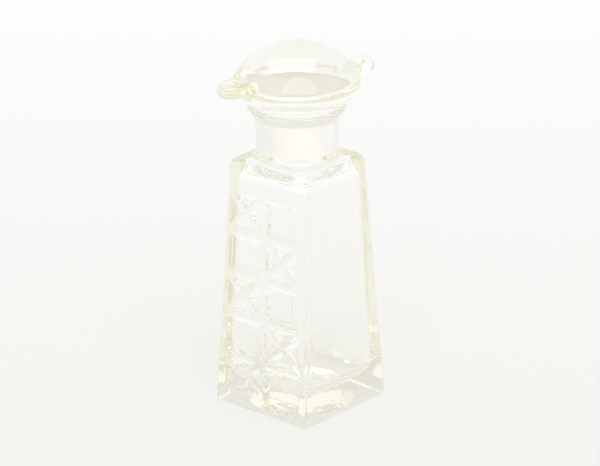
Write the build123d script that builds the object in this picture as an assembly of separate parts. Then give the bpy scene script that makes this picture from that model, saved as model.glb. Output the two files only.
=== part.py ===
from build123d import *
import os
from math import sqrt

# Perfume bottle: a square, tapering pressed-glass bottle and its ground-glass stopper.
#
# Millimetres, +Z up. The origin is the centre of the foot, on the plane the bottle stands on.
# The patterned face looks along -Y. The other three faces are plain.

# ---------------------------------------------------------------- driving dimensions
# Body: a square that narrows evenly from the foot to the shoulder.
FOOT_SIDE = 42.6
SIDE_LOSS = 0.088  # side lost per millimetre of height
SHOULDER_Z = 90.2
FOOT_CORNER_R = 0.7
SHOULDER_CORNER_R = 3.4
SHOULDER_ROUND = 3.2
FOOT_ROUND = 0.5
PUNT_R = 14.0  # shallow hollow under the foot
PUNT_DEPTH = 0.8

# Cavity: follows the body inside thick walls, over a heavy bottom.
FLOOR_Z = 8.6
CEILING_Z = 87.2
WALL_AT_FLOOR = 4.2
WALL_AT_CEILING = 3.4
CAVITY_CORNER_R = 2.0
CAVITY_ROUND = 4.5
THROAT_BEVEL = 1.6
BORE_OVERRUN = 1.0  # how far the bore's cut runs past its ends

# Neck, lip and ground joint.
NECK_ROOT_Z = 84.0  # the neck starts inside the shoulder
NECK_R = 14.3
NECK_TOP_Z = 101.6
LIP_R = 17.0
LIP_Z = 108.6
LIP_BEVEL = 1.0
LIP_LEAN = 0.45  # how far the flare leans out at the lip, per millimetre of height
MOUTH_R = 15.6
GROUND_FOOT_Z = 91.0
GROUND_TOP_Z = 104.4
GROUND_FOOT_R = 9.0
GROUND_TAPER = 0.05  # 1 in 10 on the diameter
JOINT_CLEARANCE = 0.04

# Stopper: ground plug, round underside, domed head and two finger tabs.
PLUG_FOOT_Z = 91.9
PLUG_BEVEL = 0.6
HEAD_R = 22.4
HEAD_RIM_Z = 116.2
HEAD_TOP_Z = 130.6
DOME_R = 25.4
BOWL_R = 27.5  # sphere of the head's underside, which hangs into the mouth
BOWL_Z = 131.5
BOWL_FOOT_Z = 105.8
RIM_HALF = 1.8  # half the height of the rounded rim
TAB_REACH = 31.2
TAB_ROOT = 13.0
TAB_Z = 118.0
TAB_ROOT_WIDTH = 14.4
TAB_END_WIDTH = 10.4
TAB_FLATNESS = 0.56  # thickness over width
STOPPER_TURN = -15.4  # how far the tabs stand from the Y axis

# Pattern: two columns of fields parted by ribs level with the face. Square pockets take turns
# with fields whose diagonal ribs part four triangular pockets.
PANEL_FOOT_Z = 4.2
PANEL_TOP_Z = 79.2
PANEL_FILL = 0.88  # panel width over face width
PANEL_ROWS = 5
RIB_HALF = 1.0  # half the width of a rib
POCKET_DEPTH = 1.6
SQUARE_BEVEL = 2.4  # how far a square pocket's sides run in
TRIANGLE_BEVEL = 1.6
CUT_ABOVE = 0.2  # how far a cut starts above the face


def half_side(z):
    """Half the body's side at height z."""
    return (FOOT_SIDE - SIDE_LOSS * z) / 2


def ground_r(z):
    """Radius of the ground bore at height z."""
    return GROUND_FOOT_R + GROUND_TAPER * (z - GROUND_FOOT_Z)


def turned(wire):
    """The solid that a closed wire in the XZ plane sweeps around Z."""
    return revolve(make_face(wire), axis=Axis.Z)


def at(radius, z):
    """The point of the XZ plane at this radius and height."""
    return (radius, 0, z)


# ---------------------------------------------------------------- pattern of the -Y face
def field_corner(side, step):
    """A point of the panel on the face: side runs from -1 to 1, and step counts rows."""
    z = PANEL_FOOT_Z + step * (PANEL_TOP_Z - PANEL_FOOT_Z) / PANEL_ROWS
    return Vector(side * PANEL_FILL * half_side(z), -half_side(z), z)


def pocket(corners, bevel):
    """The glass missing from a pocket inside the ribs that run between these corners."""
    outward = Vector(0, -1, SIDE_LOSS / 2).normalized()
    field = make_face(Polyline(*corners, close=True))
    spread = bevel * CUT_ABOVE / POCKET_DEPTH
    top = offset(field, amount=spread - RIB_HALF, kind=Kind.INTERSECTION)
    floor = offset(field, amount=-RIB_HALF - bevel, kind=Kind.INTERSECTION)
    above = Pos(outward * CUT_ABOVE) * top
    below = Pos(outward * -POCKET_DEPTH) * floor
    return loft([above.face(), below.face()], ruled=True)


def face_pockets():
    """Every pocket of the -Y face."""
    pockets = []
    for row in range(PANEL_ROWS):
        for column in range(2):
            sides = (column - 1, column)
            low_left, low_right = [field_corner(side, row) for side in sides]
            high_left, high_right = [field_corner(side, row + 1) for side in sides]
            corners = [low_left, low_right, high_right, high_left]
            if (row + column) % 2 == 1:
                pockets.append(pocket(corners, SQUARE_BEVEL))
                continue
            middle = (low_left + low_right + high_right + high_left) * 0.25
            for first, second in zip(corners, corners[1:] + corners[:1]):
                pockets.append(pocket([first, second, middle], TRIANGLE_BEVEL))
    return pockets


# ---------------------------------------------------------------- bottle
def body_blank():
    """The body, solid and without its neck."""
    foot = RectangleRounded(2 * half_side(0), 2 * half_side(0), FOOT_CORNER_R)
    side = 2 * half_side(SHOULDER_Z)
    top = Pos(0, 0, SHOULDER_Z) * RectangleRounded(side, side, SHOULDER_CORNER_R)
    blank = loft([foot, top], ruled=True)
    blank = fillet(blank.faces().sort_by(Axis.Z)[-1].edges(), SHOULDER_ROUND)
    return fillet(blank.faces().sort_by(Axis.Z)[0].edges(), FOOT_ROUND)


def neck_blank():
    """The neck and its flared lip, solid."""
    flare_top = LIP_Z - LIP_BEVEL
    flare = Spline(at(NECK_R, NECK_TOP_Z), at(LIP_R, flare_top), tangents=[(0, 0, 1), (LIP_LEAN, 0, 1)])
    below = Polyline(at(0, NECK_ROOT_Z), at(NECK_R, NECK_ROOT_Z), at(NECK_R, NECK_TOP_Z))
    above = Polyline(at(LIP_R, flare_top), at(LIP_R - LIP_BEVEL, LIP_Z), at(0, LIP_Z), at(0, NECK_ROOT_Z))
    return turned(below + flare + above)


def cavity_blank():
    """The hollow that holds the perfume."""
    foot_side = 2 * (half_side(FLOOR_Z) - WALL_AT_FLOOR)
    top_side = 2 * (half_side(CEILING_Z) - WALL_AT_CEILING)
    foot = Pos(0, 0, FLOOR_Z) * Rectangle(foot_side, foot_side)
    top = Pos(0, 0, CEILING_Z) * Rectangle(top_side, top_side)
    chamber = loft([foot, top], ruled=True)
    chamber = fillet(chamber.faces().filter_by(Axis.Z).edges(), CAVITY_ROUND)
    upright = chamber.edges().sort_by(SortBy.LENGTH)[-4:]
    return fillet(upright, CAVITY_CORNER_R)


def bore_blank():
    """The throat, the ground bore and the bevelled mouth above it."""
    start_z = CEILING_Z - BORE_OVERRUN
    above_lip = LIP_Z + BORE_OVERRUN
    outline = Polyline(
        at(0, start_z),
        at(GROUND_FOOT_R + THROAT_BEVEL, start_z),
        at(GROUND_FOOT_R + THROAT_BEVEL, CEILING_Z),
        at(GROUND_FOOT_R, CEILING_Z + THROAT_BEVEL),
        at(GROUND_FOOT_R, GROUND_FOOT_Z),
        at(ground_r(GROUND_TOP_Z), GROUND_TOP_Z),
        at(MOUTH_R, LIP_Z),
        at(MOUTH_R, above_lip),
        at(0, above_lip),
        close=True,
    )
    return turned(outline)


def punt():
    """The shallow round hollow under the foot."""
    sphere_r = (PUNT_R**2 + PUNT_DEPTH**2) / (2 * PUNT_DEPTH)
    return Pos(0, 0, PUNT_DEPTH - sphere_r) * Sphere(sphere_r)


def make_bottle():
    """The bottle: one piece of glass."""
    bottle = body_blank() + neck_blank()
    bottle = bottle - face_pockets() - cavity_blank() - bore_blank() - punt()
    return bottle.solids().sort_by(SortBy.VOLUME)[-1]


# ---------------------------------------------------------------- stopper
def sphere_point(radius, centre_z, z):
    """The point at height z of a sphere centred on the axis."""
    return at(sqrt(max(radius**2 - (z - centre_z) ** 2, 0)), z)


def sphere_arc(radius, centre_z, first_z, last_z):
    """The arc, between two heights, of a sphere centred on the axis."""
    middle_z = (first_z + last_z) / 2
    return ThreePointArc(*[sphere_point(radius, centre_z, z) for z in (first_z, middle_z, last_z)])


def head_and_plug():
    """Plug, underside, rounded rim and dome."""
    plug_foot_r = ground_r(PLUG_FOOT_Z) - JOINT_CLEARANCE
    plug_top_r = ground_r(GROUND_TOP_Z) - JOINT_CLEARANCE
    bowl = sphere_arc(BOWL_R, BOWL_Z, BOWL_FOOT_Z, HEAD_RIM_Z - RIM_HALF)
    plug = Polyline(
        at(0, PLUG_FOOT_Z),
        at(plug_foot_r - PLUG_BEVEL, PLUG_FOOT_Z),
        at(plug_foot_r, PLUG_FOOT_Z + PLUG_BEVEL),
        at(plug_top_r, GROUND_TOP_Z),
        bowl @ 0,
    )
    dome = sphere_arc(DOME_R, HEAD_TOP_Z - DOME_R, HEAD_RIM_Z + RIM_HALF, HEAD_TOP_Z)
    rim = ThreePointArc(bowl @ 1, at(HEAD_R, HEAD_RIM_Z), dome @ 0)
    core = Line(at(0, HEAD_TOP_Z), at(0, PLUG_FOOT_Z))
    return turned(plug + bowl + rim + dome + core)


def finger_tab():
    """A flat, rounded tab that reaches out along +Y."""
    end_r = TAB_END_WIDTH / 2
    length = TAB_REACH - end_r - TAB_ROOT
    centred = (Align.CENTER, Align.CENTER, Align.MIN)
    bar = Rot(-90, 0, 0) * Cone(TAB_ROOT_WIDTH / 2, end_r, length, align=centred)
    bar = bar + Pos(0, length, 0) * Sphere(end_r)
    return Pos(0, TAB_ROOT, TAB_Z) * scale(bar, by=(1, 1, TAB_FLATNESS))


def make_stopper():
    """The stopper: one piece of glass."""
    tab = finger_tab()
    stopper = head_and_plug() + tab + Rot(0, 0, 180) * tab
    return Rot(0, 0, STOPPER_TURN) * stopper.solids().sort_by(SortBy.VOLUME)[-1]


# ---------------------------------------------------------------- write the pieces
os.makedirs("parts", exist_ok=True)
export_step(make_bottle(), "parts/bottle.step")
export_step(make_stopper(), "parts/stopper.step")
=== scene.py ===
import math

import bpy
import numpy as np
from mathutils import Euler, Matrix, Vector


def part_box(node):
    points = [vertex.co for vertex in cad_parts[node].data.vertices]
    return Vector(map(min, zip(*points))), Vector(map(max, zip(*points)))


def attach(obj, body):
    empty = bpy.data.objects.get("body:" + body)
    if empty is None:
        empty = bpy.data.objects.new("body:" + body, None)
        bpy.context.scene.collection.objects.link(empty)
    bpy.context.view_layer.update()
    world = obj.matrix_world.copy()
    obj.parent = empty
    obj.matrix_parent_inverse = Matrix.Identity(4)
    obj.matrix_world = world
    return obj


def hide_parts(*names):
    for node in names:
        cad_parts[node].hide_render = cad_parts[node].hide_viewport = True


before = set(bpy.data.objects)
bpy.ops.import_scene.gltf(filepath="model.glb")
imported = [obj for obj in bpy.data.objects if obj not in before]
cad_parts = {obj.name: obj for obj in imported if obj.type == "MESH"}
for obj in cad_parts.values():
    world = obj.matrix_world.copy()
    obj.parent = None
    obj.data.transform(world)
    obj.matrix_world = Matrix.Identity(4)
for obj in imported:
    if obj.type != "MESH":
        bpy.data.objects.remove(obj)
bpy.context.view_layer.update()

# Perfume bottle: looks for a square pressed-glass bottle and its domed ground-glass stopper.
#
# Shapes are worked out in millimetres in the frame's own axes, and turned to metres when a mesh is
# made. The bottle is one closed surface through level rings of points: they climb the outside from
# the hollow under the foot to the lip, and go down the inside to the floor of the cavity.

MM = 0.001
BOTTLE_BOX = [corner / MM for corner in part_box("bottle")]
STOPPER_BOX = [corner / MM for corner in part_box("stopper")]

# ---------------------------------------------------------------- bottle sizes, in millimetres
# Body
FOOT_SIDE = 42.6
SIDE_LOSS = 0.088  # side lost per millimetre of height
SHOULDER_Z = 90.2
FOOT_CORNER_R = 0.7
SHOULDER_CORNER_R = 3.4
FOOT_ROUND = 0.8
SHOULDER_ROUND = 3.6
SHOULDER_SHARE = 0.9  # the most of the way to the neck that the shoulder's round may take
PUNT_R = 14.0  # hollow under the foot
PUNT_DEPTH = 0.8

# Neck, lip, mouth and ground bore
NECK_R = 14.3
NECK_ROOT_R = 1.8
NECK_TOP_Z = 101.6
LIP_R = 17.0
LIP_Z = BOTTLE_BOX[1].z
LIP_ROUND = 1.0
FLARE_POWER = 1.8
MOUTH_R = 15.6
MOUTH_ROUND = 0.3
GROUND_FOOT_Z = 91.0
GROUND_TOP_Z = 104.4
GROUND_FOOT_R = 9.0
GROUND_TAPER = 0.05  # radius gained per millimetre of height

# Cavity
CEILING_Z = 88.4
CEILING_DROP = 1.4
CEILING_ROUND = 5.0
THROAT_ROUND = 2.0
FLOOR_Z = 8.6
FLOOR_ROUND = 5.0
FLOOR_CORNER_GROWTH = 0.5  # corner radius gained per millimetre that the floor's round runs in
WALL_AT_FLOOR = 4.2
WALL_AT_SHOULDER = 3.5
CAVITY_CORNER_R = 2.0

# Pattern: a lattice of ribs level with the face, and the pockets sunk between them
PANEL_FOOT_Z = 4.2
PANEL_TOP_Z = 79.2
PANEL_FILL = 0.88  # panel width over face width
PANEL_ROWS = 5
RIB_HALF = 0.7  # half the width of a rib
POCKET_DEPTH = 1.6
SQUARE_BEVEL = 2.2  # how far a square pocket's sides run in
TRIANGLE_BEVEL = 1.9

# Unevenness of pressed glass. A ripple has a turn across the face, a turn up it, a start and a share.
FACE_WAVE = 0.03
CAVITY_WAVE = 0.12
RIPPLES = (
    (2.3, 0.11, 0.0, 1.0),
    (1.1, -0.17, 1.3, 1.0),
    (4.1, 0.31, 0.6, 0.5),
    (-2.9, 0.52, 0.0, 0.35),
)
FACE_SHIFT = 1.7  # each face takes up the ripples further on
PUNT_WAVE = 0.12
PUNT_TURN_X = 0.83
PUNT_START_X = 0.6
PUNT_TURN_Y = 0.71
PUNT_START_Y = -0.4

# ---------------------------------------------------------------- columns and rings of the bottle
PATTERN_COLUMNS = 128
PLAIN_COLUMNS = 26
CORNER_COLUMNS = 7
CORNER_SPREAD = math.radians(10)
PUNT_RINGS = 12
RIM_RINGS = 2
SIDE_RINGS = 240
SHOULDER_FLAT_RINGS = 4
NECK_RINGS = 6
FLARE_RINGS = 12
LIP_FLAT_RINGS = 2
MOUTH_RINGS = 8
BORE_RINGS = 16
CEILING_RINGS = 8
WALL_RINGS = 48
FLOOR_SHARES = (0.25, 0.5, 0.75, 0.93)  # how far in towards the axis the floor's rings stand
FINE_EDGE_RINGS = 5
EDGE_RINGS = 6
ROOT_RINGS = 7
BROAD_EDGE_RINGS = 10


def column_plan():
    """For each column: the face it is on, its place across it, and how far round a corner it is."""
    plan = []
    for face in range(4):
        count = PATTERN_COLUMNS if face == 0 else PLAIN_COLUMNS
        for step in range(count):
            plan.append((face, 2 * step / count - 1, 0.0))
        for step in range(CORNER_COLUMNS):
            plan.append((face, 1.0, step / CORNER_COLUMNS))
    return np.array(plan)


FACE, PLACE, SWING = column_plan().T
COLUMNS = len(FACE)
FACE_ANGLE = FACE * math.pi / 2
ALONG = np.column_stack([np.cos(FACE_ANGLE), np.sin(FACE_ANGLE)])
OUT = np.column_stack([np.sin(FACE_ANGLE), -np.cos(FACE_ANGLE)])


# ---------------------------------------------------------------- helpers
def half_side(z):
    """Half the body's side at height z."""
    return (FOOT_SIDE - SIDE_LOSS * z) / 2


def corner_r(z):
    """Radius of the body's upright corners at height z."""
    return FOOT_CORNER_R + (SHOULDER_CORNER_R - FOOT_CORNER_R) * z / SHOULDER_Z


def ground_r(z):
    """Radius of the ground bore at height z."""
    return GROUND_FOOT_R + GROUND_TAPER * (z - GROUND_FOOT_Z)


def mix(first, second, share):
    """The value that lies this share of the way from first to second."""
    return first * (1 - share) + second * share


def smooth(value):
    """A soft step from 0 to 1."""
    value = np.clip(value, 0, 1)
    return value * value * (3 - 2 * value)


def quarter(count):
    """Angles of a quarter turn, without its start."""
    return [math.pi / 2 * (step + 1) / count for step in range(count)]


def ring_at(across, out, z):
    """A ring from each column's distances along and out of its face."""
    xy = ALONG * across[:, None] + OUT * out[:, None]
    return np.column_stack([xy, np.full(COLUMNS, float(z))])


def square_ring(half, corner, z, lift=0.0):
    """A rounded square at height z. lift moves points out from their faces."""
    flat = half - corner
    turned = SWING * math.pi / 2
    return ring_at(flat * PLACE + corner * np.sin(turned), flat + corner * np.cos(turned) + lift, z)


def round_ring(radius, z):
    """A circle at height z."""
    turned = PLACE * (math.pi / 4 - CORNER_SPREAD) + SWING * 2 * CORNER_SPREAD
    return ring_at(radius * np.sin(turned), radius * np.cos(turned), z)


def wave(z, size):
    """The unevenness of the faces at height z. It dies out at the corners."""
    across = PLACE + FACE * FACE_SHIFT
    total = 0
    whole = 0
    for turn, climb, start, share in RIPPLES:
        total = total + share * np.sin(across * turn + z * climb + start)
        whole = whole + share
    return size * total / whole * (1 - PLACE**4) * (SWING == 0)


# ---------------------------------------------------------------- bottle
def pattern_lift(z):
    """How far each column stands out from its face at height z: below zero in the pockets."""
    pitch = (PANEL_TOP_Z - PANEL_FOOT_Z) / PANEL_ROWS
    row = math.floor((z - PANEL_FOOT_Z) / pitch)
    if row < 0 or row >= PANEL_ROWS:
        return np.zeros(COLUMNS)
    across = PLACE * (half_side(z) - corner_r(z))
    column = (across > 0).astype(int)
    half_width = PANEL_FILL * half_side(z) / 2
    half_height = pitch / 2
    sideways = across - (column * 2 - 1) * half_width
    upwards = z - PANEL_FOOT_Z - (row + 0.5) * pitch
    edge = np.minimum(half_width - np.abs(sideways), half_height - abs(upwards))
    rising = np.abs(sideways * half_height - upwards * half_width)
    falling = np.abs(sideways * half_height + upwards * half_width)
    diagonal = np.minimum(rising, falling) / math.hypot(half_width, half_height)
    square = smooth((edge - RIB_HALF) / SQUARE_BEVEL)
    triangle = smooth((np.minimum(edge, diagonal) - RIB_HALF) / TRIANGLE_BEVEL)
    crossed = (row + column) % 2 == 0
    on_face = (FACE == 0) & (SWING == 0)
    return -POCKET_DEPTH * np.where(crossed, triangle, square) * on_face


def foot_rings():
    """The hollow under the foot, the flat rim the bottle stands on, and its rounded edge."""
    rings = []
    for step in range(1, PUNT_RINGS + 1):
        share = step / PUNT_RINGS
        ring = round_ring(PUNT_R * share, PUNT_DEPTH * (1 - share**2))
        ripple = np.sin(ring[:, 0] * PUNT_TURN_X + PUNT_START_X)
        ripple = ripple * np.sin(ring[:, 1] * PUNT_TURN_Y + PUNT_START_Y)
        ring[:, 2] += PUNT_WAVE * (1 - share**2) * ripple
        rings.append(ring)
    rim = square_ring(half_side(0) - FOOT_ROUND, FOOT_CORNER_R, 0)
    for step in range(1, RIM_RINGS + 1):
        rings.append(mix(round_ring(PUNT_R, 0), rim, step / RIM_RINGS))
    for angle in quarter(FINE_EDGE_RINGS):
        inset = FOOT_ROUND * (1 - math.sin(angle))
        z = FOOT_ROUND * (1 - math.cos(angle))
        rings.append(square_ring(half_side(z) - inset, FOOT_CORNER_R, z))
    return rings


def side_rings():
    """The tapering body, with its pattern."""
    rings = []
    for step in range(1, SIDE_RINGS + 1):
        share = step / SIDE_RINGS
        z = FOOT_ROUND + (SHOULDER_Z - SHOULDER_ROUND - FOOT_ROUND) * share
        uneven = FACE_WAVE * math.sqrt(max(math.sin(math.pi * share), 0))
        lift = pattern_lift(z) - uneven + wave(z, uneven)
        rings.append(square_ring(half_side(z), corner_r(z), z, lift))
    return rings


def shoulder_rings():
    """The rounded shoulder, and the hollow round at the neck's root."""
    start_z = SHOULDER_Z - SHOULDER_ROUND
    start = square_ring(half_side(start_z), corner_r(start_z), SHOULDER_Z)
    root = round_ring(NECK_R + NECK_ROOT_R, SHOULDER_Z)
    gap = np.linalg.norm(root[:, :2] - start[:, :2], axis=1)
    reach = np.minimum(SHOULDER_ROUND, gap * SHOULDER_SHARE) / gap
    rings = []
    for angle in quarter(BROAD_EDGE_RINGS):
        ring = start + (root - start) * (reach * (1 - math.cos(angle)))[:, None]
        ring[:, 2] = start_z + SHOULDER_ROUND * math.sin(angle)
        rings.append(ring)
    for step in range(1, SHOULDER_FLAT_RINGS + 1):
        share = reach + (1 - reach) * step / SHOULDER_FLAT_RINGS
        rings.append(start + (root - start) * share[:, None])
    for angle in quarter(ROOT_RINGS):
        radius = NECK_R + NECK_ROOT_R * (1 - math.sin(angle))
        rings.append(round_ring(radius, SHOULDER_Z + NECK_ROOT_R * (1 - math.cos(angle))))
    return rings


def neck_rings():
    """The neck, the flare and the rounded lip."""
    rings = []
    foot_z = SHOULDER_Z + NECK_ROOT_R
    flare_top = LIP_Z - LIP_ROUND
    for step in range(1, NECK_RINGS + 1):
        rings.append(round_ring(NECK_R, foot_z + (NECK_TOP_Z - foot_z) * step / NECK_RINGS))
    for step in range(1, FLARE_RINGS + 1):
        share = step / FLARE_RINGS
        radius = NECK_R + (LIP_R - NECK_R) * share**FLARE_POWER
        rings.append(round_ring(radius, NECK_TOP_Z + (flare_top - NECK_TOP_Z) * share))
    for angle in quarter(EDGE_RINGS):
        radius = LIP_R - LIP_ROUND * (1 - math.cos(angle))
        rings.append(round_ring(radius, flare_top + LIP_ROUND * math.sin(angle)))
    return rings


def mouth_rings():
    """The top of the lip, the coned mouth and the ground bore, going in and down."""
    rings = []
    mouth_edge = MOUTH_R + MOUTH_ROUND
    bore_top = ground_r(GROUND_TOP_Z)
    for step in range(1, LIP_FLAT_RINGS + 1):
        rings.append(round_ring(mix(LIP_R - LIP_ROUND, mouth_edge, step / LIP_FLAT_RINGS), LIP_Z))
    for angle in quarter(FINE_EDGE_RINGS):
        radius = mouth_edge - MOUTH_ROUND * math.sin(angle)
        rings.append(round_ring(radius, LIP_Z - MOUTH_ROUND * (1 - math.cos(angle))))
    for step in range(1, MOUTH_RINGS + 1):
        share = step / MOUTH_RINGS
        z = mix(LIP_Z - MOUTH_ROUND, GROUND_TOP_Z, share)
        rings.append(round_ring(mix(MOUTH_R, bore_top, share), z))
    for step in range(1, BORE_RINGS + 1):
        z = mix(GROUND_TOP_Z, GROUND_FOOT_Z, step / BORE_RINGS)
        rings.append(round_ring(ground_r(z), z))
    return rings


def cavity_rings():
    """The throat's rounded edge, the inside of the shoulder, the wall and the floor, going down."""
    rings = []
    for angle in quarter(EDGE_RINGS):
        radius = GROUND_FOOT_R + THROAT_ROUND * (1 - math.cos(angle))
        rings.append(round_ring(radius, CEILING_Z + THROAT_ROUND * (1 - math.sin(angle))))
    throat = rings[-1]
    wall_top = CEILING_Z - CEILING_DROP - CEILING_ROUND
    top_half = half_side(wall_top) - WALL_AT_SHOULDER
    ceiling = square_ring(top_half - CEILING_ROUND, CAVITY_CORNER_R, CEILING_Z - CEILING_DROP)
    for step in range(1, CEILING_RINGS + 1):
        rings.append(mix(throat, ceiling, step / CEILING_RINGS))
    for angle in quarter(BROAD_EDGE_RINGS):
        inset = CEILING_ROUND * (1 - math.sin(angle))
        z = wall_top + CEILING_ROUND * math.cos(angle)
        rings.append(square_ring(top_half - inset, CAVITY_CORNER_R, z))
    floor_half = half_side(FLOOR_Z) - WALL_AT_FLOOR
    wall_foot = FLOOR_Z + FLOOR_ROUND
    for step in range(1, WALL_RINGS + 1):
        share = step / WALL_RINGS
        z = mix(wall_top, wall_foot, share)
        uneven = wave(z, CAVITY_WAVE * math.sin(math.pi * share))
        rings.append(square_ring(mix(top_half, floor_half, share), CAVITY_CORNER_R, z, uneven))
    for angle in quarter(BROAD_EDGE_RINGS):
        inset = FLOOR_ROUND * (1 - math.cos(angle))
        corner = CAVITY_CORNER_R + inset * FLOOR_CORNER_GROWTH
        z = wall_foot - FLOOR_ROUND * math.sin(angle)
        rings.append(square_ring(floor_half - inset, corner, z))
    floor_edge = rings[-1]
    for share in FLOOR_SHARES:
        rings.append(floor_edge * [1 - share, 1 - share, 1])
    return rings


def closed_mesh(name, rings, first_z, last_z):
    """A closed piece through rings, with a point on the axis before the first and after the last."""
    count = len(rings[0])
    points = [(0, 0, first_z * MM)]
    for ring in rings:
        points.extend(map(tuple, ring * MM))
    points.append((0, 0, last_z * MM))
    last = 1 + (len(rings) - 1) * count
    faces = []
    for column in range(count):
        beside = (column + 1) % count
        faces.append((0, 1 + beside, 1 + column))
        for low in range(1, last, count):
            high = low + count
            faces.append((low + column, low + beside, high + beside, high + column))
        faces.append((last + column, last + beside, len(points) - 1))
    mesh = bpy.data.meshes.new(name)
    mesh.from_pydata(points, [], faces)
    mesh.polygons.foreach_set("use_smooth", [True] * len(mesh.polygons))
    mesh.update()
    piece = bpy.data.objects.new(name, mesh)
    bpy.context.scene.collection.objects.link(piece)
    return piece


def make_bottle():
    """The bottle, inside and out."""
    outside = foot_rings() + side_rings() + shoulder_rings() + neck_rings()
    inside = mouth_rings() + cavity_rings()
    return closed_mesh("pressed_glass_bottle", outside + inside, PUNT_DEPTH, FLOOR_Z)


# ---------------------------------------------------------------- stopper sizes, in millimetres
JOINT_CLEARANCE = 0.04
HEAD_TOP_Z = STOPPER_BOX[1].z
PLUG_FOOT_Z = STOPPER_BOX[0].z
PLUG_TOP_Z = LIP_Z + 4  # inside the head
PLUG_ROUND = 0.6
DOME_R = 25.5
BOWL_R = 27.6  # sphere of the head's underside
BOWL_Z = 131.6
TAB_REACH = 31.2
TAB_ROOT = 13.0
TAB_Z = 118.0
TAB_ROOT_WIDTH = 14.4
TAB_END_WIDTH = 10.4
TAB_HALF = 2.7  # half the thickness of a tab
TAB_EDGE_R = 2.5
STOPPER_TURN = math.radians(-15.4)  # how far the tabs stand from the Y axis

# How widely two shapes melt into each other
RIM_BLEND = 3.0
TAB_BLEND = 2.4
WAIST_BLEND = 1.2

# The surface is found along rays from a centre inside the head. Each band of rows has the angle from
# straight down at which it ends, and its count of rows.
CENTRE_Z = 117.5
FAR = 45.0  # beyond the stopper in every direction
HALVINGS = 40
STOPPER_COLUMNS = 256
COLUMN_CROWDING = 0.34
FOOT_ROWS = 7
ROW_BANDS = ((62, 90), (78, 40), (108, 110), (180, 90))


def soft_max(a, b, blend):
    """The larger of two depths, melted together where they are close: the overlap of two shapes."""
    share = np.clip(0.5 + 0.5 * (a - b) / blend, 0, 1)
    return b + (a - b) * share + blend * share * (1 - share)


def soft_min(a, b, blend):
    """The smaller of two depths, melted together: the union of two shapes."""
    return -soft_max(-a, -b, blend)


def plug_r(z):
    """Radius of the plug at height z."""
    return ground_r(z) - JOINT_CLEARANCE


def tab_depth(x, along, z):
    """Below zero inside the rounded slab that reaches out along one direction."""
    end = TAB_REACH - TAB_END_WIDTH / 2
    share = np.clip((along - TAB_ROOT) / (end - TAB_ROOT), 0, 1)
    width = mix(TAB_ROOT_WIDTH, TAB_END_WIDTH, share)
    outline = np.hypot(x, np.maximum(along - end, 0)) - width / 2 + TAB_EDGE_R
    height = np.abs(z - TAB_Z) - TAB_HALF + TAB_EDGE_R
    outside = np.hypot(np.maximum(outline, 0), np.maximum(height, 0))
    slab = outside + np.minimum(np.maximum(outline, height), 0) - TAB_EDGE_R
    return np.where(along > 0, slab, FAR)


def stopper_depth(x, y, z):
    """Below zero inside the stopper, before it is turned."""
    flat = np.hypot(x, y)
    dome = np.hypot(flat, z - (HEAD_TOP_Z - DOME_R)) - DOME_R
    bowl = np.hypot(flat, z - BOWL_Z) - BOWL_R
    head = soft_max(dome, bowl, RIM_BLEND)
    for side in (-1, 1):
        head = soft_min(head, tab_depth(x, side * y, z), TAB_BLEND)
    plug = np.maximum(flat - plug_r(z), z - PLUG_TOP_Z)
    return np.maximum(soft_min(head, plug, WAIST_BLEND), PLUG_FOOT_Z - z)


def stopper_columns():
    """Angles of the columns, closer together at the tabs."""
    steps = np.linspace(0, 2 * math.pi, STOPPER_COLUMNS, endpoint=False)
    return steps - COLUMN_CROWDING * np.sin(2 * steps) + math.pi / 2


def stopper_rows():
    """Angles from straight down to straight up at which the surface is found."""
    start = math.atan2(plug_r(PLUG_FOOT_Z) - PLUG_ROUND, CENTRE_Z - PLUG_FOOT_Z)
    rows = list(np.linspace(0, start, FOOT_ROWS + 1)[1:])
    for degrees, count in ROW_BANDS:
        end = math.radians(degrees)
        rows += list(np.linspace(start, end, count)[1:])
        start = end
    return np.array(rows[:-1])


def make_stopper():
    """The stopper, turned as it stands in the bottle."""
    columns, rows = np.meshgrid(stopper_columns(), stopper_rows())
    directions = [np.cos(columns) * np.sin(rows), np.sin(columns) * np.sin(rows), -np.cos(rows)]
    near = np.zeros_like(rows)
    far = np.full_like(rows, FAR)
    for _ in range(HALVINGS):
        middle = (near + far) / 2
        x, y, z = [direction * middle for direction in directions]
        inside = stopper_depth(x, y, CENTRE_Z + z) < 0
        near = np.where(inside, middle, near)
        far = np.where(inside, far, middle)
    x, y, z = [direction * near for direction in directions]
    cos, sin = math.cos(STOPPER_TURN), math.sin(STOPPER_TURN)
    rings = np.stack([cos * x - sin * y, sin * x + cos * y, CENTRE_Z + z], axis=-1)
    return closed_mesh("domed_glass_stopper", list(rings), PLUG_FOOT_Z, HEAD_TOP_Z)


# ---------------------------------------------------------------- materials
GLASS_IOR = 1.52
GLASS_TINT = (0.87, 0.86, 0.56, 1)
BOTTLE_DENSITY = 7.2
STOPPER_DENSITY = 5.4
SURFACE_TINT = (0.99, 0.99, 0.985, 1)
SHADOW_TINT = (0.92, 0.915, 0.85, 1)

# Textures have a scale in features to a metre and a level of detail. Depths are in metres.
# Clear glass
RIPPLE_NOISE = (70.0, 2.0)
RIPPLE_DEPTH = 0.00012
PEEL_NOISE = (420.0, 1.0)
PEEL_DEPTH = 0.000004
WEAR_NOISE = (900.0, 4.0)
WORN_ROUGHNESS = 0.02

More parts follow.
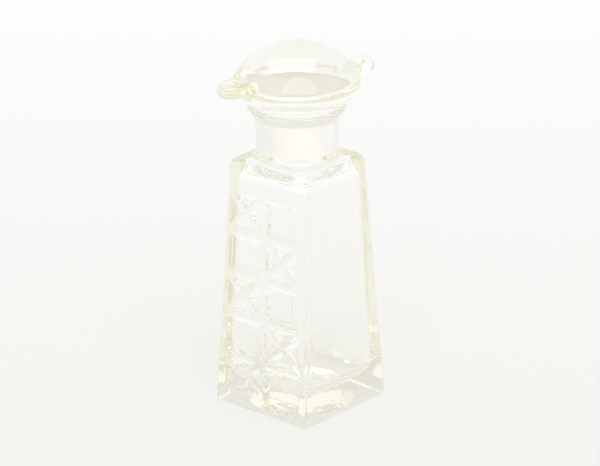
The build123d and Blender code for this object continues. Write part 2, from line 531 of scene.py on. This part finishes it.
# Ground glass
GROUND_TRANSMISSION = 0.12
CLOUD_NOISE = (160.0, 3.0)
GRAIN_NOISE = (3600.0, 2.0)
GRAIN_DEPTH = 0.00001
GRAIN_ROUGHNESS = (0.5, 0.75)
RING_WAVE = (260.0, 2.0)
RING_DEPTH = 0.00001
RING_DISTORTION = 3.0
BORE_LIGHT = (0.975, 0.97, 0.965, 1)
BORE_DARK = (0.93, 0.925, 0.915, 1)
# The plug's ground glass is made far darker than the bore's: painted shade for the dim light inside
# the head.
PLUG_LIGHT_PAINTED_SHADE = (0.69, 0.672, 0.64, 1)
PLUG_DARK_PAINTED_SHADE = (0.645, 0.625, 0.58, 1)
GROUND_LEAST_R = 8.0
GROUND_LARGEST_R = 14.2
GROUND_LEAST_Z = GROUND_FOOT_Z + 0.9

TEXTURE_LOW = 0.3
TEXTURE_HIGH = 0.7


def colour_mix(tree, first, second):
    """A node that mixes two colours."""
    node = tree.nodes.new("ShaderNodeMix")
    node.data_type = "RGBA"
    node.inputs["A"].default_value = first
    node.inputs["B"].default_value = second
    return node


def glass_nodes(name, absorption):
    """A tinted glass that lets lamps and diffuse light through, and its Principled node."""
    material = bpy.data.materials.new(name)
    material.use_nodes = True
    tree = material.node_tree
    tree.nodes.clear()
    glass = tree.nodes.new("ShaderNodeBsdfPrincipled")
    glass.inputs["Base Color"].default_value = (1, 1, 1, 1)
    glass.inputs["Transmission Weight"].default_value = 1.0
    glass.inputs["Roughness"].default_value = 0.0
    glass.inputs["IOR"].default_value = GLASS_IOR
    path = tree.nodes.new("ShaderNodeLightPath")
    tint = colour_mix(tree, SURFACE_TINT, SHADOW_TINT)
    clear = tree.nodes.new("ShaderNodeBsdfTransparent")
    straight = tree.nodes.new("ShaderNodeMath")
    straight.operation = "MAXIMUM"
    surface = tree.nodes.new("ShaderNodeMixShader")
    density = tree.nodes.new("ShaderNodeMath")
    density.operation = "MULTIPLY_ADD"
    density.inputs[1].default_value = -absorption
    density.inputs[2].default_value = absorption
    volume = tree.nodes.new("ShaderNodeVolumeAbsorption")
    volume.inputs["Color"].default_value = GLASS_TINT
    out = tree.nodes.new("ShaderNodeOutputMaterial")
    tree.links.new(path.outputs["Is Shadow Ray"], tint.inputs["Factor"])
    tree.links.new(tint.outputs["Result"], clear.inputs["Color"])
    tree.links.new(path.outputs["Is Shadow Ray"], straight.inputs[0])
    tree.links.new(path.outputs["Is Diffuse Ray"], straight.inputs[1])
    tree.links.new(straight.outputs[0], surface.inputs["Fac"])
    tree.links.new(glass.outputs[0], surface.inputs[1])
    tree.links.new(clear.outputs[0], surface.inputs[2])
    tree.links.new(surface.outputs[0], out.inputs["Surface"])
    tree.links.new(straight.outputs[0], density.inputs[0])
    tree.links.new(density.outputs[0], volume.inputs["Density"])
    tree.links.new(volume.outputs[0], out.inputs["Volume"])
    return material, glass


def texture(tree, kind, scale, detail):
    """A procedural texture in the piece's own coordinates."""
    node = tree.nodes.new(kind)
    node.inputs["Scale"].default_value = scale
    node.inputs["Detail"].default_value = detail
    place = tree.nodes.new("ShaderNodeTexCoord")
    tree.links.new(place.outputs["Object"], node.inputs["Vector"])
    return node


def spread(tree, value, low, high):
    """Spread the middle of a texture's range over low to high."""
    node = tree.nodes.new("ShaderNodeMapRange")
    node.inputs["From Min"].default_value = TEXTURE_LOW
    node.inputs["From Max"].default_value = TEXTURE_HIGH
    node.inputs["To Min"].default_value = low
    node.inputs["To Max"].default_value = high
    tree.links.new(value, node.inputs["Value"])
    return node.outputs["Result"]


def bump(tree, height, depth, below=None):
    """A bump of this depth in metres, on top of another one."""
    node = tree.nodes.new("ShaderNodeBump")
    node.inputs["Distance"].default_value = depth
    tree.links.new(height, node.inputs["Height"])
    if below is not None:
        tree.links.new(below, node.inputs["Normal"])
    return node.outputs["Normal"]


def make_clear_glass(name, absorption):
    """Fire-polished glass with the faint ripple of its mould, orange peel and fine wear."""
    material, glass = glass_nodes(name, absorption)
    tree = material.node_tree
    ripple = texture(tree, "ShaderNodeTexNoise", *RIPPLE_NOISE)
    peel = texture(tree, "ShaderNodeTexNoise", *PEEL_NOISE)
    wear = texture(tree, "ShaderNodeTexNoise", *WEAR_NOISE)
    normal = bump(tree, ripple.outputs[0], RIPPLE_DEPTH)
    normal = bump(tree, peel.outputs[0], PEEL_DEPTH, normal)
    tree.links.new(normal, glass.inputs["Normal"])
    tree.links.new(spread(tree, wear.outputs[0], 0.0, WORN_ROUGHNESS), glass.inputs["Roughness"])
    return material


def make_ground_glass(name, light, dark, absorption):
    """Glass ground with emery: fine grain, rings left by the grinding and uneven whiteness."""
    material, glass = glass_nodes(name, absorption)
    tree = material.node_tree
    glass.inputs["Transmission Weight"].default_value = GROUND_TRANSMISSION
    cloud = texture(tree, "ShaderNodeTexNoise", *CLOUD_NOISE)
    grain = texture(tree, "ShaderNodeTexNoise", *GRAIN_NOISE)
    rings = texture(tree, "ShaderNodeTexWave", *RING_WAVE)
    rings.inputs["Distortion"].default_value = RING_DISTORTION
    rings.bands_direction = "Z"
    tint = colour_mix(tree, light, dark)
    tree.links.new(spread(tree, cloud.outputs[0], 0.0, 1.0), tint.inputs["Factor"])
    tree.links.new(tint.outputs["Result"], glass.inputs["Base Color"])
    tree.links.new(spread(tree, grain.outputs[0], *GRAIN_ROUGHNESS), glass.inputs["Roughness"])
    normal = bump(tree, grain.outputs[0], GRAIN_DEPTH)
    normal = bump(tree, rings.outputs["Fac"], RING_DEPTH, normal)
    tree.links.new(normal, glass.inputs["Normal"])
    return material


def dress(piece, node, clear, ground):
    """Stand a piece in for its CAD node, in clear glass with a ground seat."""
    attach(piece, node)
    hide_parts(node)
    piece.data.materials.append(clear)
    piece.data.materials.append(ground)
    for face in piece.data.polygons:
        x, y, z = face.center / MM
        if GROUND_LEAST_R < math.hypot(x, y) < GROUND_LARGEST_R and GROUND_LEAST_Z < z < LIP_Z:
            face.material_index = 1


clear_bottle = make_clear_glass("clear_bottle_glass", BOTTLE_DENSITY)
clear_stopper = make_clear_glass("clear_stopper_glass", STOPPER_DENSITY)
ground_bore = make_ground_glass("ground_bore", BORE_LIGHT, BORE_DARK, BOTTLE_DENSITY)
# The plug's darker colours are painted shade for the dim light inside the head.
ground_plug_painted_shade = make_ground_glass("ground_plug_painted_shade", PLUG_LIGHT_PAINTED_SHADE, PLUG_DARK_PAINTED_SHADE, STOPPER_DENSITY)
dress(make_bottle(), "bottle", clear_bottle, ground_bore)
dress(make_stopper(), "stopper", clear_stopper, ground_plug_painted_shade)

# ---------------------------------------------------------------- camera, in metres
VIEW_AZIMUTH = math.radians(41.5)
CAMERA_DISTANCE = 0.8707
CAMERA_HEIGHT = 0.3727
CAMERA_PITCH = math.radians(19.66)
CAMERA_ROLL = math.radians(-0.73)
CAMERA_LENS = 159.77
CAMERA_SHIFT = 0.0024
RIGHT = Vector((math.cos(VIEW_AZIMUTH), math.sin(VIEW_AZIMUTH), 0))
AWAY = Vector((-math.sin(VIEW_AZIMUTH), math.cos(VIEW_AZIMUTH), 0))
UP = Vector((0, 0, 1))


def make_camera():
    """A long lens that looks down at the corner between the patterned face and a plain one."""
    camera = bpy.data.objects.new("camera", bpy.data.cameras.new("camera"))
    camera.data.lens = CAMERA_LENS
    camera.data.shift_x = CAMERA_SHIFT
    camera.location = -AWAY * CAMERA_DISTANCE + UP * CAMERA_HEIGHT
    aimed = Euler((math.pi / 2 - CAMERA_PITCH, 0, VIEW_AZIMUTH)).to_matrix()
    camera.rotation_euler = (aimed @ Matrix.Rotation(CAMERA_ROLL, 3, "Z")).to_euler()
    bpy.context.scene.collection.objects.link(camera)
    bpy.context.scene.camera = camera


# ---------------------------------------------------------------- floor, backdrop and light
FLOOR_REACH = 4.0
FLOOR_NEAR = -0.15
FLOOR_FAR = 0.7
# Painted light and shade: the floor's colour runs from darker near the camera to lighter far from it.
FLOOR_NEAR_PAINTED_SHADE = (0.70, 0.692, 0.667, 1)
FLOOR_FAR_PAINTED_LIGHT = (0.89, 0.89, 0.90, 1)
PAPER_ROUGHNESS = 0.9
PAPER_SPECULAR = 0.1
WORLD_STRENGTH = 1.015
WORLD_AXIS = AWAY * 0.75 + RIGHT * 0.15 + UP * 0.6
WORLD_DARK_END = -0.6
WORLD_BRIGHT_END = 0.25
WORLD_DARK = (0.78, 0.78, 0.77, 1)
WORLD_BRIGHT = (1.0, 1.0, 1.0, 1)
KEY_PLACE = RIGHT * 0.16 - AWAY * 1.32 + UP * 1.48
KEY_TARGET = Vector((0, 0, 0.06))
KEY_SIZE = 2.0
KEY_WATTS = 17.8
BOUNCES = 96  # thick glass needs many


def tone_along(tree, coordinates, axis, ends, first, second):
    """A colour that runs from first to second along an axis, between two distances."""
    place = tree.nodes.new("ShaderNodeTexCoord")
    distance = tree.nodes.new("ShaderNodeVectorMath")
    distance.operation = "DOT_PRODUCT"
    distance.inputs[1].default_value = axis[:]
    ramp = tree.nodes.new("ShaderNodeMapRange")
    ramp.inputs["From Min"].default_value = ends[0]
    ramp.inputs["From Max"].default_value = ends[1]
    tone = colour_mix(tree, first, second)
    tree.links.new(place.outputs[coordinates], distance.inputs[0])
    tree.links.new(distance.outputs["Value"], ramp.inputs["Value"])
    tree.links.new(ramp.outputs[0], tone.inputs["Factor"])
    return tone.outputs["Result"]


def make_floor():
    """A pale paper floor with painted light and shade: darker near the camera and lighter away from
    it, standing in for studio light that is stronger at the back.
    """
    corners = [(-FLOOR_REACH, -FLOOR_REACH, 0), (FLOOR_REACH, -FLOOR_REACH, 0)]
    corners += [(FLOOR_REACH, FLOOR_REACH, 0), (-FLOOR_REACH, FLOOR_REACH, 0)]
    mesh = bpy.data.meshes.new("floor")
    mesh.from_pydata(corners, [], [(0, 1, 2, 3)])
    floor = bpy.data.objects.new("floor", mesh)
    bpy.context.scene.collection.objects.link(floor)
    paper = bpy.data.materials.new("pale_paper")
    paper.use_nodes = True
    tree = paper.node_tree
    shader = tree.nodes["Principled BSDF"]
    shader.inputs["Roughness"].default_value = PAPER_ROUGHNESS
    shader.inputs["Specular IOR Level"].default_value = PAPER_SPECULAR
    tone = tone_along(tree, "Object", AWAY, (FLOOR_NEAR, FLOOR_FAR), FLOOR_NEAR_PAINTED_SHADE, FLOOR_FAR_PAINTED_LIGHT)
    tree.links.new(tone, shader.inputs["Base Color"])
    floor.data.materials.append(paper)


def make_world():
    """A bright studio all round, a little darker behind and below the camera."""
    world = bpy.data.worlds.new("studio")
    bpy.context.scene.world = world
    world.use_nodes = True
    tree = world.node_tree
    background = tree.nodes["Background"]
    background.inputs["Strength"].default_value = WORLD_STRENGTH
    ends = (WORLD_DARK_END, WORLD_BRIGHT_END)
    tone = tone_along(tree, "Generated", WORLD_AXIS, ends, WORLD_DARK, WORLD_BRIGHT)
    tree.links.new(tone, background.inputs["Color"])


def make_key_light():
    """A large soft lamp above and behind the camera."""
    lamp = bpy.data.lights.new("key", "AREA")
    lamp.shape = "DISK"
    lamp.size = KEY_SIZE
    lamp.energy = KEY_WATTS
    light = bpy.data.objects.new("key", lamp)
    light.location = KEY_PLACE
    light.rotation_euler = (KEY_TARGET - KEY_PLACE).to_track_quat("-Z", "Y").to_euler()
    bpy.context.scene.collection.objects.link(light)


def set_glass_paths():
    """Let rays go through many walls of glass before they end."""
    scene = bpy.context.scene
    scene.view_settings.view_transform = "Standard"
    scene.cycles.max_bounces = BOUNCES
    scene.cycles.transmission_bounces = BOUNCES
    scene.cycles.transparent_max_bounces = BOUNCES
    scene.cycles.glossy_bounces = BOUNCES
    scene.cycles.caustics_reflective = False
    scene.cycles.caustics_refractive = False
    scene.cycles.use_denoising = True


make_camera()
make_floor()
make_world()
make_key_light()
set_glass_paths()

bpy.context.view_layer.update()
